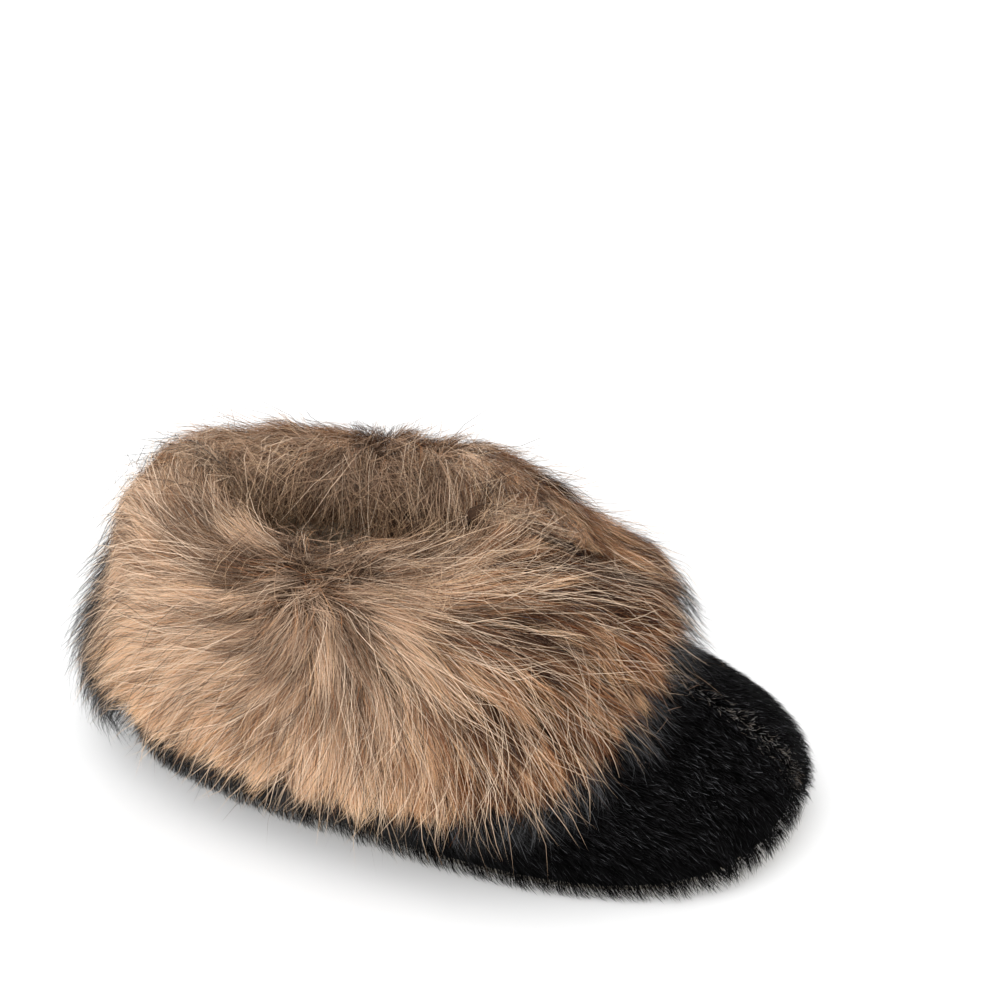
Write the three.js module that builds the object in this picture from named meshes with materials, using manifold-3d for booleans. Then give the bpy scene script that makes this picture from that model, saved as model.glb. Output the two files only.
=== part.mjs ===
// Fur-cuffed slipper for a right foot, in millimetres, +X towards the toe, +Y to the inner side, +Z up.
import * as THREE from 'three';
import { mergeVertices } from 'three/addons/utils/BufferGeometryUtils.js';
import Module from 'manifold-3d';

const wasm = await Module();
wasm.setup();

// Last: what the foot needs
const LENGTH = 252;
const BALL_WIDTH = 102;
const TOE_SPRING = 9;
const TOE_SPRING_START = 70;
const ARCH_LIFT = 1.6;
const ARCH_CENTRE = -22;
const ARCH_HALF_LENGTH = 38;

// Collar oval in plan
const COLLAR_CENTRE = -42;
const COLLAR_HALF_LENGTH = 62;
const COLLAR_HALF_WIDTH = 36;

// Wall of the upper, and how its sections swell between feather line and topline
const WALL = 3;
const SECTION_FLARE = 6;
const SECTION_RISE = 30;
const COLLAR_DROP = 28;
const VAMP_REACH = 200;

// Centre seam, a groove from the toe up to the cuff, and its steps from the toe tip to the outer side
const SEAM_DEPTH = 1.4;
const SEAM_HALF_TURN = 0.005;
const SEAM_STEP = 1;

// Sole and footbed
const SOLE_THICKNESS = 4.5;
const SOLE_INSET = 1.5;
const INSOLE_HEIGHT_SHARE = 0.056;
const INSOLE_ROUNDING = 1.2;
const INSOLE_GAP = 0.5;
const GAP = 0.35;

// Fur: its gap to the hide, how far its inner lip leans over the opening, and how uneven its locks are
const CUFF_GAP = 0.75;
const LIP_REACH = 10;
const LOCK_SIDES = 5;
const LOCK_LENGTH_UNEVEN = 0.12;
const LOCK_START_UNEVEN = 0.03;
const LOCK_TURN_UNEVEN = 0.006;
const LOCK_SPACING_UNEVEN = 0.25;

// One row for each rib of the shoe, from the toe round the outer side and the heel.
// along and across place the rib's foot on the feather line, as shares of length and ball width;
// turn is its place on the collar oval in degrees; rim is the collar's height above the floor;
// hem is the share of the rib below the fur; depth and crown are the fur's reach outwards and upwards.
const RIBS = [
  { rib: 'toe tip', along: 1.0, across: 0.06, turn: 0, rim: 90, hem: 0.67, depth: 27, crown: 30 },
  { rib: 'outer toe', along: 0.966, across: -0.25, turn: -16, rim: 89, hem: 0.63, depth: 26, crown: 30 },
  { rib: 'little toe', along: 0.885, across: -0.435, turn: -34, rim: 85, hem: 0.53, depth: 25, crown: 33 },
  { rib: 'outer ball', along: 0.725, across: -0.54, turn: -55, rim: 80, hem: 0.35, depth: 24, crown: 40 },
  { rib: 'outer waist', along: 0.56, across: -0.53, turn: -78, rim: 76, hem: 0.22, depth: 23, crown: 43 },
  { rib: 'outer arch', along: 0.36, across: -0.45, turn: -100, rim: 77, hem: 0.2, depth: 23, crown: 42 },
  { rib: 'outer heel', along: 0.165, across: -0.335, turn: -130, rim: 86, hem: 0.19, depth: 22, crown: 35 },
  { rib: 'outer corner', along: 0.042, across: -0.195, turn: -155, rim: 94, hem: 0.19, depth: 21, crown: 29 },
  { rib: 'heel back', along: 0.0, across: 0.0, turn: -180, rim: 97, hem: 0.19, depth: 21, crown: 27 },
  { rib: 'inner corner', along: 0.042, across: 0.195, turn: -205, rim: 95, hem: 0.19, depth: 21, crown: 28 },
  { rib: 'inner heel', along: 0.165, across: 0.325, turn: -230, rim: 90, hem: 0.19, depth: 22, crown: 30 },
  { rib: 'inner arch', along: 0.38, across: 0.325, turn: -260, rim: 85, hem: 0.2, depth: 24, crown: 35 },
  { rib: 'inner waist', along: 0.58, across: 0.4, turn: -282, rim: 83, hem: 0.23, depth: 28, crown: 38 },
  { rib: 'inner ball', along: 0.745, across: 0.46, turn: -305, rim: 85, hem: 0.36, depth: 31, crown: 38 },
  { rib: 'big toe', along: 0.89, across: 0.42, turn: -326, rim: 87, hem: 0.53, depth: 31, crown: 35 },
  { rib: 'inner toe', along: 0.968, across: 0.28, turn: -344, rim: 89, hem: 0.63, depth: 29, crown: 32 },
];
const STEPS_PER_RIB = 4;
const STEPS_ROUND = RIBS.length * STEPS_PER_RIB;
const TURNS = Array.from({ length: STEPS_ROUND }, (_, step) => step / STEPS_ROUND);

// Shares of a rib from feather line to topline where the upper's wall has its rings
const WALL_RINGS = [0, 0.07, 0.15, 0.23, 0.32, 0.42, 0.53, 0.65, 0.77, 0.89, 1];

// Lower edge of the sole, from the floor up: inset from the rim and height
const SOLE_RINGS = [
  { inset: 2.6, height: 0 },
  { inset: 0.7, height: 0.8 },
  { inset: 0, height: 2.2 },
  { inset: 0, height: SOLE_THICKNESS },
];

// Fur line of a rib, from the inner lip over the crown: lip leans inwards from the rim, out is a share
// of the fur's depth and up of its crown
const FUR_OVER_RIM = [
  { lip: 0.5, out: 0, up: 0.2 },
  { lip: 1, out: 0, up: 0.68 },
  { lip: 0.3, out: 0, up: 1 },
  { lip: 0, out: 0.8, up: 0.7 },
];
// and on down to the hem: covered is a share of the hide between hem and rim, reach of the fur's depth
const FUR_OVER_HIDE = [
  { covered: 0.62, reach: 1 },
  { covered: 0.28, reach: 0.98 },
  { covered: 0.05, reach: 0.72 },
  { covered: 0, reach: 0.3 },
];
// Points of the cuff's section along the hide, and steps along the fur line
const CUFF_BACK_SHARES = [0, 0.25, 0.5, 0.75, 1];
const CUFF_FACE_STEPS = 11;

// Rows of fur locks, from the crown down: how many, where they start and how far they run down the
// fur (0 at the inner lip, 1 at the hem), their half width and thickness, how far the tip lifts, and
// how far the tip passes the hem over the instep, as a share of the hide
const LOCK_ROWS = [
  { count: 22, start: 0.3, run: 0.3, halfWidth: 8, halfThick: 5, tipLift: 6, fringe: 0, stagger: 0 },
  { count: 25, start: 0.48, run: 0.3, halfWidth: 8, halfThick: 5, tipLift: 7, fringe: 0, stagger: 0.5 },
  { count: 28, start: 0.64, run: 0.34, halfWidth: 7.5, halfThick: 5, tipLift: 5, fringe: 0.11, stagger: 0.2 },
];
const FRINGE_HEIGHT = 6;
// The instep is where the cosine of the turn lies between these
const INSTEP_FROM = 0.3;
const INSTEP_FULL = 0.85;
// Along a lock: share of its run, share of its section and lift above the fur
const LOCK_TAPER = [
  { share: 0, section: 0.7, lift: -5 },
  { share: 0.4, section: 1, lift: -0.8 },
  { share: 0.75, section: 0.66, lift: 1.5 },
];
// The fur swirls away from one whorl on each side of the foot, at these turns round the shoe
const OUTER_WHORL = 0.29;
const INNER_WHORL = 0.71;
const SWIRL_TURN = 0.05;

const UP = new THREE.Vector3(0, 0, 1);
// Small steps for slopes, and the shares where a slope is taken just short of an edge
const SLOPE_STEP = 0.002;
const LOCK_AHEAD = 0.05;
const NEAR_RIM = 0.93;
const NEAR_HEM = 0.985;

function closedCurve(points) {
  return new THREE.CatmullRomCurve3(points, true, 'centripetal');
}

function soleLift(x) {
  const toe = Math.max(0, (x - TOE_SPRING_START) / (LENGTH / 2 - TOE_SPRING_START));
  const arch = Math.max(0, 1 - ((x - ARCH_CENTRE) / ARCH_HALF_LENGTH) ** 2);
  return TOE_SPRING * toe ** 2 + ARCH_LIFT * arch ** 2;
}

function featherPoint(row) {
  const x = (row.along - 0.5) * LENGTH;
  return new THREE.Vector3(x, row.across * BALL_WIDTH, 0);
}

function collarPoint(row) {
  const angle = THREE.MathUtils.degToRad(row.turn);
  const x = COLLAR_CENTRE + COLLAR_HALF_LENGTH * Math.cos(angle);
  return new THREE.Vector3(x, COLLAR_HALF_WIDTH * Math.sin(angle), row.rim);
}

const featherLine = closedCurve(RIBS.map(featherPoint));
const topLine = closedCurve(RIBS.map(collarPoint));
const furSizes = closedCurve(RIBS.map((row) => new THREE.Vector3(row.hem, row.depth, row.crown)));

const wrap = (turn) => turn - Math.floor(turn);

function furAt(turn) {
  const sizes = furSizes.getPoint(wrap(turn));
  return { hem: sizes.x, depth: sizes.y, crown: sizes.z };
}

// Outward direction in plan, square to the feather line
function soleOutward(turn) {
  const tangent = featherLine.getTangent(wrap(turn));
  return new THREE.Vector3(tangent.y, -tangent.x, 0).normalize().negate();
}

// Point of the hide's outer face: turn goes round the shoe, share goes from feather line to topline
function skinPoint(turn, share) {
  const foot = featherLine.getPoint(wrap(turn));
  foot.z = soleLift(foot.x) + SOLE_THICKNESS + GAP;
  const collar = topLine.getPoint(wrap(turn));
  const across = new THREE.Vector3(foot.x - collar.x, foot.y - collar.y, 0);
  const reach = across.lengthSq() / VAMP_REACH;
  const lower = foot.clone().addScaledVector(soleOutward(turn), SECTION_FLARE);
  lower.addScaledVector(UP, SECTION_RISE);
  const upper = collar.clone().addScaledVector(across.normalize(), reach).addScaledVector(UP, -COLLAR_DROP);
  return new THREE.CubicBezierCurve3(foot, lower, upper, collar).getPoint(share);
}

// Outward normal of a surface that is given as a function of turn and share
function normalOf(surface, turn, share) {
  const low = Math.max(0, share - SLOPE_STEP);
  const high = Math.min(1, share + SLOPE_STEP);
  const round = surface(turn + SLOPE_STEP, share).sub(surface(turn - SLOPE_STEP, share));
  const rise = surface(turn, high).sub(surface(turn, low));
  return rise.cross(round).normalize();
}

function hidePoint(turn, share, depth) {
  const normal = normalOf(skinPoint, turn, share);
  if (share === 0) normal.setZ(0).normalize();
  return skinPoint(turn, share).addScaledVector(normal, -depth);
}

function signedVolume(positions, index) {
  const [a, b, c] = [new THREE.Vector3(), new THREE.Vector3(), new THREE.Vector3()];
  let volume = 0;
  for (let i = 0; i < index.length; i += 3) {
    a.fromArray(positions, 3 * index[i]);
    b.fromArray(positions, 3 * index[i + 1]);
    c.fromArray(positions, 3 * index[i + 2]);
    volume += a.dot(b.cross(c)) / 6;
  }
  return volume;
}

function geometryFrom(points, index) {
  const positions = points.flatMap((point) => point.toArray());
  if (signedVolume(positions, index) < 0) index.reverse();
  const geometry = new THREE.BufferGeometry();
  geometry.setAttribute('position', new THREE.Float32BufferAttribute(positions, 3));
  geometry.setIndex(index);
  return geometry;
}

function quad(index, a, b, c, d) {
  index.push(a, b, c, a, c, d);
}

// Closed section swept round the shoe: sections is a ring of sections with equal counts of points
function ringSolid(sections) {
  const count = sections[0].length;
  const index = [];
  for (let i = 0; i < sections.length; i += 1) {
    const here = i * count;
    const next = ((i + 1) % sections.length) * count;
    for (let j = 0; j < count; j += 1) {
      const k = (j + 1) % count;
      quad(index, here + j, next + j, next + k, here + k);
    }
  }
  return geometryFrom(sections.flat(), index);
}

// Plate between closed outlines, lowest first, each from the toe tip round and back
function plateSolid(outlines) {
  const count = outlines[0].length;
  const index = [];
  for (let level = 0; level + 1 < outlines.length; level += 1) {
    for (let j = 0; j < count; j += 1) {
      const k = (j + 1) % count;
      quad(index, level * count + j, level * count + k, (level + 1) * count + k, (level + 1) * count + j);
    }
  }
  const top = (outlines.length - 1) * count;
  for (let j = 0; j < count / 2; j += 1) {
    const k = (count - j) % count;
    const rung = [j, j + 1, count - j - 1, k];
    for (const [a, b, c] of [[0, 1, 2], [0, 2, 3]]) {
      const corners = [rung[a], rung[b], rung[c]];
      if (new Set(corners).size < 3) continue;
      index.push(corners[2], corners[1], corners[0]);
      index.push(top + corners[0], top + corners[1], top + corners[2]);
    }
  }
  return geometryFrom(outlines.flat(), index);
}

function outsole() {
  const outlines = SOLE_RINGS.map(({ inset, height }) => TURNS.map((turn) => {
    const point = featherLine.getPoint(turn).addScaledVector(soleOutward(turn), -SOLE_INSET - inset);
    return point.setZ(soleLift(point.x) + height);
  }));
  return plateSolid(outlines);
}

function insole() {
  const levels = [0, 0.5, 1];
  const outlines = levels.map((level) => TURNS.map((turn) => {
    const rounding = level === 1 ? INSOLE_ROUNDING : 0;
    return hidePoint(turn, level * INSOLE_HEIGHT_SHARE, WALL + INSOLE_GAP + rounding);
  }));
  return plateSolid(outlines);
}

function upper() {
  const seam = TURNS[SEAM_STEP];
  const turns = [...TURNS, seam - SEAM_HALF_TURN, seam + SEAM_HALF_TURN].sort((a, b) => a - b);
  const sections = turns.map((turn) => {
    const seamEnd = furAt(turn).hem;
    const outside = WALL_RINGS.map((share) => {
      const inSeam = turn === seam && share < seamEnd;
      return hidePoint(turn, share, inSeam ? SEAM_DEPTH : 0);
    });
    const inside = WALL_RINGS.map((share) => hidePoint(turn, share, WALL));
    return [...outside, ...inside.reverse()];
  });
  return ringSolid(sections);
}

// Outer line of the fur in one rib, from the inner lip over the crown and down to the hem
function furLine(turn) {
  const { hem, depth, crown } = furAt(turn);
  const rim = skinPoint(turn, 1);
  const outward = normalOf(skinPoint, turn, NEAR_RIM).setZ(0).normalize();
  const overRim = FUR_OVER_RIM.map(({ lip, out, up }) => {
    const inward = lip > 0 ? WALL + LIP_REACH * lip : 0;
    return rim.clone().addScaledVector(outward, depth * out - inward).addScaledVector(UP, crown * up);
  });
  const overHide = FUR_OVER_HIDE.map(({ covered, reach }) => {
    return hidePoint(turn, hem + (1 - hem) * covered, -reach * depth);
  });
  return new THREE.CatmullRomCurve3([...overRim, ...overHide], false, 'centripetal');
}

function furPoint(turn, share) {
  return furLine(turn).getPoint(THREE.MathUtils.clamp(share, 0, 1));
}

// The fur's line runs down its outer side, so its normal points the other way from the hide's
function furNormal(turn, share) {
  return normalOf(furPoint, turn, Math.min(share, NEAR_HEM)).negate();
}

function cuffRing() {
  const sections = TURNS.map((turn) => {
    const { hem } = furAt(turn);
    const back = CUFF_BACK_SHARES.map((share) => hidePoint(turn, hem + (1 - hem) * share, -CUFF_GAP));
    const rimTop = hidePoint(turn, 1, 0).addScaledVector(UP, CUFF_GAP);
    const rimInside = hidePoint(turn, 1, WALL).addScaledVector(UP, CUFF_GAP);
    const line = furLine(turn);
    return [...back, rimTop, rimInside, ...line.getPoints(CUFF_FACE_STEPS)];
  });
  return ringSolid(sections);
}

// Even spread of small differences from lock to lock, between -1 and 1
function unevenness(seed) {
  const value = Math.sin(seed * 12.9898) * 43758.5453;
  return 2 * (value - Math.floor(value)) - 1;
}

// How far a lock runs round the shoe: away from the whorl on its own side, and straight at toe and heel
function swirl(turn) {
  const whorl = turn < 0.5 ? OUTER_WHORL : INNER_WHORL;
  const edge = turn < whorl ? (turn < 0.5 ? 0 : 0.5) : (turn < 0.5 ? 0.5 : 1);
  const share = (turn - whorl) / Math.abs(edge - whorl);
  return SWIRL_TURN * Math.sin(Math.PI * share);
}

// Tip of a lock: at the end of its run, or in the fringe past the hem over the instep
function lockTip(turn, row, end) {
  if (row.fringe === 0) return end;
  const instep = THREE.MathUtils.smoothstep(Math.cos(2 * Math.PI * turn), INSTEP_FROM, INSTEP_FULL);
  return end.lerp(hidePoint(turn, furAt(turn).hem - row.fringe, -FRINGE_HEIGHT), instep);
}

function lockSolid(turn, row, seed) {
  const run = row.run * (1 + LOCK_LENGTH_UNEVEN * unevenness(seed));
  const around = swirl(turn) + LOCK_TURN_UNEVEN * unevenness(seed + 0.5);
  const start = row.start + LOCK_START_UNEVEN * unevenness(seed + 0.25);
  const place = (share, lift) => {
    const atTurn = wrap(turn + around * share);
    const atShare = Math.min(start + run * share, 1);
    return furPoint(atTurn, atShare).addScaledVector(furNormal(atTurn, atShare), lift);
  };
  const points = [];
  for (const { share, section, lift } of LOCK_TAPER) {
    const centre = place(share, lift);
    const ahead = place(share + LOCK_AHEAD, lift).sub(centre).normalize();
    const outward = furNormal(wrap(turn + around * share), start + run * share);
    const side = ahead.clone().cross(outward).normalize();
    const lifted = side.clone().cross(ahead);
    for (let i = 0; i < LOCK_SIDES; i += 1) {
      const angle = Math.PI * (0.5 + (2 * i) / LOCK_SIDES);
      points.push(centre.clone()
        .addScaledVector(side, row.halfWidth * section * Math.cos(angle))
        .addScaledVector(lifted, row.halfThick * section * Math.sin(angle)));
    }
  }
  points.push(lockTip(wrap(turn + around), row, place(1, row.tipLift)));
  const index = [];
  for (let ring = 0; ring + 1 < LOCK_TAPER.length; ring += 1) {
    for (let i = 0; i < LOCK_SIDES; i += 1) {
      const k = (i + 1) % LOCK_SIDES;
      const base = ring * LOCK_SIDES;
      quad(index, base + i, base + k, base + LOCK_SIDES + k, base + LOCK_SIDES + i);
    }
  }
  const last = (LOCK_TAPER.length - 1) * LOCK_SIDES;
  for (let i = 0; i < LOCK_SIDES; i += 1) {
    index.push(last + i, last + ((i + 1) % LOCK_SIDES), points.length - 1);
    if (i > 0 && i + 1 < LOCK_SIDES) index.push(0, i + 1, i);
  }
  return geometryFrom(points, index);
}

function toManifold(geometry) {
  const vertProperties = new Float32Array(geometry.getAttribute('position').array);
  const triVerts = new Uint32Array(geometry.getIndex().array);
  return new wasm.Manifold(new wasm.Mesh({ numProp: 3, vertProperties, triVerts }));
}

function fromManifold(solid) {
  const mesh = solid.getMesh();
  const geometry = new THREE.BufferGeometry();
  geometry.setAttribute('position', new THREE.Float32BufferAttribute(mesh.vertProperties, 3));
  geometry.setIndex(Array.from(mesh.triVerts));
  return mergeVertices(geometry, 1e-5);
}

function furCuff() {
  let solid = toManifold(cuffRing());
  LOCK_ROWS.forEach((row, rowNumber) => {
    for (let i = 0; i < row.count; i += 1) {
      const seed = 100 * rowNumber + i + 1;
      const turn = wrap((i + row.stagger + LOCK_SPACING_UNEVEN * unevenness(seed + 0.75)) / row.count);
      solid = solid.add(toManifold(lockSolid(turn, row, seed)));
    }
  });
  return fromManifold(solid);
}

function piece(name, geometry, color, roughness) {
  geometry.computeVertexNormals();
  const material = new THREE.MeshStandardMaterial({ color, roughness, metalness: 0 });
  const mesh = new THREE.Mesh(geometry, material);
  mesh.name = name;
  return mesh;
}

const slipper = new THREE.Group();
slipper.add(piece('outsole', outsole(), 0xcfc8ba, 0.9));
slipper.add(piece('insole', insole(), 0xe6dcc6, 0.95));
slipper.add(piece('upper', upper(), 0x121214, 0.55));
slipper.add(piece('fur_cuff', furCuff(), 0x9a7b5c, 0.8));

// The origin is under the middle of the slipper, on the floor
const box = new THREE.Box3().setFromObject(slipper);
const middle = box.getCenter(new THREE.Vector3());
slipper.position.set(-middle.x, -middle.y, -box.min.z);

export default slipper;
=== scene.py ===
"""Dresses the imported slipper: fur, nap, fleece, light, floor and camera."""
import math
from collections import namedtuple

import bpy
import numpy as np
from mathutils import Matrix, Vector


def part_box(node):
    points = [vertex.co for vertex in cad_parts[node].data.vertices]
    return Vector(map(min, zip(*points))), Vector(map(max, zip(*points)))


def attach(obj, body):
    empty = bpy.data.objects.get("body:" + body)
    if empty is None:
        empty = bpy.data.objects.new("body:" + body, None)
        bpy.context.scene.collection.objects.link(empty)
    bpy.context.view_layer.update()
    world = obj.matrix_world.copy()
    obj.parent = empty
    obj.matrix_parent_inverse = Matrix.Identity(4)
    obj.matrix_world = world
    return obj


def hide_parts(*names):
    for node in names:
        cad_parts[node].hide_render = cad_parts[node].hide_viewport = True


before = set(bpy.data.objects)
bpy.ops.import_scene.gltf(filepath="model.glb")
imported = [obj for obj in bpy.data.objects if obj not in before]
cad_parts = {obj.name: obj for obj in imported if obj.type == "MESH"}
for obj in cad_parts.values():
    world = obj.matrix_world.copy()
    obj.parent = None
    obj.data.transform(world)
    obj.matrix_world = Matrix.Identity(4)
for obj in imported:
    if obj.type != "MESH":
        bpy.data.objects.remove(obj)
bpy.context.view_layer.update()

BODY = "root"
MM = 0.001

# Sizes of the last in millimetres, as in the part's source
LENGTH = 252
BALL_WIDTH = 102
TOE_SPRING = 9
TOE_SPRING_START = 70
ARCH_LIFT = 1.6
ARCH_CENTRE = -22
ARCH_HALF_LENGTH = 38
COLLAR_CENTRE = -42
COLLAR_HALF_LENGTH = 62
COLLAR_HALF_WIDTH = 36
WALL = 3
SECTION_FLARE = 6
SECTION_RISE = 30
COLLAR_DROP = 28
VAMP_REACH = 200
SOLE_THICKNESS = 4.5
SOLE_INSET = 1.5
SOLE_STEPS_PER_RIB = 4
GAP = 0.35
LIP_REACH = 10

# One rib for each section, from the toe tip round the outer side and the heel
Rib = namedtuple("Rib", "along across turn rim hem depth crown")
RIBS = [
    Rib(1.0, 0.06, 0, 90, 0.67, 27, 30),
    Rib(0.966, -0.25, -16, 89, 0.63, 26, 30),
    Rib(0.885, -0.435, -34, 85, 0.53, 25, 33),
    Rib(0.725, -0.54, -55, 80, 0.35, 24, 40),
    Rib(0.56, -0.53, -78, 76, 0.22, 23, 43),
    Rib(0.36, -0.45, -100, 77, 0.2, 23, 42),
    Rib(0.165, -0.335, -130, 86, 0.19, 22, 35),
    Rib(0.042, -0.195, -155, 94, 0.19, 21, 29),
    Rib(0.0, 0.0, -180, 97, 0.19, 21, 27),
    Rib(0.042, 0.195, -205, 95, 0.19, 21, 28),
    Rib(0.165, 0.325, -230, 90, 0.19, 22, 30),
    Rib(0.38, 0.325, -260, 85, 0.2, 24, 35),
    Rib(0.58, 0.4, -282, 83, 0.23, 28, 38),
    Rib(0.745, 0.46, -305, 85, 0.36, 31, 38),
    Rib(0.89, 0.42, -326, 87, 0.53, 31, 35),
    Rib(0.968, 0.28, -344, 89, 0.63, 29, 32),
]
ROUND_STEPS = 192
LINE_STEPS = 72

# Photograph's camera: angles in degrees, distances in millimetres, focal length in pixels of 1000
VIEW_AZIMUTH = 14.67
VIEW_ELEVATION = 34.5
VIEW_DISTANCE = 1000
VIEW_RIGHT = 14.55
VIEW_UP = 102.64
VIEW_FOCAL = 2631.74
PICTURE_SIZE = 1000
SENSOR_WIDTH = 36
# Floor and light: half width in metres, strengths, and the width of the key light in degrees
FLOOR_HALF = 6.0
FLOOR_GLOW = 0.08
SKY_STRENGTH = 0.88
KEY_FROM = (-0.2, -0.5, 0.85)
KEY_STRENGTH = 1.5
KEY_WIDTH = 80
WHITE = (1, 1, 1, 1)

# Fur: the whorl of each side as turn and share of the fur line, lengths in millimetres, sweeps in radians
OUTER_WHORL = (0.29, 0.3)
INNER_WHORL = (0.71, 0.42)
FUR_ROUND = 560
FUR_LINE = 165
FUR_DEPTH = 9
FUR_BILLOW = 2.2
INSTEP_LAY = 3
FLANK_SWEEP = 0.48
CENTRE_SWEEP = 0.25
FLOOR_CLEARANCE = 0.8
MAP_HALF_WIDTH = 0.004
SEAM_TURN = 1 / 64
# Height above which hairs bend over softly, and how far past it they can then rise
CREST_HEIGHT = 124
CREST_GIVE = 11
# Seeds of the random draws, one for each set of hairs or waves
SEEDS = {"billow": 5, "cuff": 11, "stray": 17, "guard": 23, "inner": 31, "nap": 41, "hem": 43, "seam": 47,
         "lining": 53}


def smooth(value, low, high):
    """Soft step from 0 at low to 1 at high."""
    share = np.clip((np.asarray(value, float) - low) / (high - low), 0, 1)
    return share * share * (3 - 2 * share)


def unit(vectors):
    return vectors / np.maximum(np.linalg.norm(vectors, axis=-1, keepdims=True), 1e-9)


def dot(a, b):
    return (a * b).sum(-1, keepdims=True)


def level(share):
    """Limit that is the same share at every turn."""
    return lambda turns: np.full_like(turns, share)


def along_hair(points):
    """Shares along a hair at its points, ready to multiply paths."""
    return np.linspace(0, 1, points)[None, :, None]


def srgb(red, green, blue):
    """Colour given in 0 to 255 screen values, as linear light with alpha."""
    shares = np.array([red, green, blue]) / 255
    linear = np.where(shares <= 0.04045, shares / 12.92, ((shares + 0.055) / 1.055) ** 2.4)
    return (*linear.tolist(), 1.0)


# Curves and surfaces of the last

def catmull(p0, p1, p2, p3, share):
    """Centripetal spline between p1 and p2."""
    knot = [np.maximum(np.linalg.norm(b - a, axis=-1, keepdims=True), 1e-6) ** 0.5
            for a, b in ((p0, p1), (p1, p2), (p2, p3))]
    leave = (p1 - p0) / knot[0] - (p2 - p0) / (knot[0] + knot[1]) + (p2 - p1) / knot[1]
    arrive = (p2 - p1) / knot[1] - (p3 - p1) / (knot[1] + knot[2]) + (p3 - p2) / knot[2]
    leave, arrive = leave * knot[1], arrive * knot[1]
    share = share[..., None]
    square, cube = share ** 2, share ** 3
    return (p1 + leave * share + (3 * (p2 - p1) - 2 * leave - arrive) * square
            + (2 * (p1 - p2) + leave + arrive) * cube)


def closed_curve(points, turns):
    points = np.asarray(points, float)
    count = len(points)
    place = np.mod(turns, 1) * count
    first = np.floor(place).astype(int) % count
    around = [points[(first + step) % count] for step in (-1, 0, 1, 2)]
    return catmull(*around, place - np.floor(place))


def open_curve(points, shares):
    """points has its control points on the second last axis; shares is one list for all."""
    points = np.concatenate([2 * points[..., :1, :] - points[..., 1:2, :], points,
                             2 * points[..., -1:, :] - points[..., -2:-1, :]], axis=-2)
    spans = points.shape[-2] - 3
    place = np.asarray(shares) * spans
    first = np.minimum(np.floor(place).astype(int), spans - 1)
    around = [points[..., first + step, :] for step in range(4)]
    return catmull(*around, np.broadcast_to(place - first, around[0].shape[:-1]))


def sole_lift(x):
    toe = np.maximum(0, (x - TOE_SPRING_START) / (LENGTH / 2 - TOE_SPRING_START))
    arch = np.maximum(0, 1 - ((x - ARCH_CENTRE) / ARCH_HALF_LENGTH) ** 2)
    return TOE_SPRING * toe ** 2 + ARCH_LIFT * arch ** 2


FEATHER = np.array([((rib.along - 0.5) * LENGTH, rib.across * BALL_WIDTH, 0) for rib in RIBS])
TOPLINE = np.array([(COLLAR_CENTRE + COLLAR_HALF_LENGTH * math.cos(math.radians(rib.turn)),
                     COLLAR_HALF_WIDTH * math.sin(math.radians(rib.turn)), rib.rim) for rib in RIBS])
FUR_SIZES = np.array([(rib.hem, rib.depth, rib.crown) for rib in RIBS])


def sole_outward(turns):
    along = closed_curve(FEATHER, turns + 1e-4) - closed_curve(FEATHER, turns - 1e-4)
    return unit(np.stack([-along[..., 1], along[..., 0], 0 * along[..., 0]], -1))


def part_origin():
    """Where the source's own origin lies in the frame, from the outline of the sole."""
    steps = SOLE_STEPS_PER_RIB * len(RIBS)
    turns = np.arange(steps) / steps
    outline = closed_curve(FEATHER, turns) - SOLE_INSET * sole_outward(turns)
    low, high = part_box("outsole")
    middle = (outline.min(0) + outline.max(0)) / 2
    return np.array([(low[0] + high[0]) / 2 / MM - middle[0], (low[1] + high[1]) / 2 / MM - middle[1], 0])


ORIGIN = part_origin()


def hide_surface(turns, shares):
    """Outer face of the hide; turn goes round the shoe and share from feather line to topline."""
    turns, shares = np.broadcast_arrays(np.asarray(turns, float), np.asarray(shares, float))
    foot = closed_curve(FEATHER, turns)
    foot[..., 2] = sole_lift(foot[..., 0]) + SOLE_THICKNESS + GAP
    collar = closed_curve(TOPLINE, turns)
    across = (foot - collar) * (1, 1, 0)
    reach = (across ** 2).sum(-1, keepdims=True) / VAMP_REACH
    lower = foot + SECTION_FLARE * sole_outward(turns) + (0, 0, SECTION_RISE)
    upper = collar + unit(across) * reach - (0, 0, COLLAR_DROP)
    share = shares[..., None]
    rest = 1 - share
    return (foot * rest ** 3 + 3 * lower * rest ** 2 * share + 3 * upper * rest * share ** 2
            + collar * share ** 3 + ORIGIN)


def hide_normal(turns, shares):
    step = 2e-3
    low, high = np.maximum(shares - step, 0), np.minimum(shares + step, 1)
    rise = hide_surface(turns, high) - hide_surface(turns, low)
    around = hide_surface(turns + step, shares) - hide_surface(turns - step, shares)
    return unit(np.cross(rise, around))


def over_hide(turns, shares, reach):
    return hide_surface(turns, shares) + hide_normal(turns, shares) * np.asarray(reach)[..., None]


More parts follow.
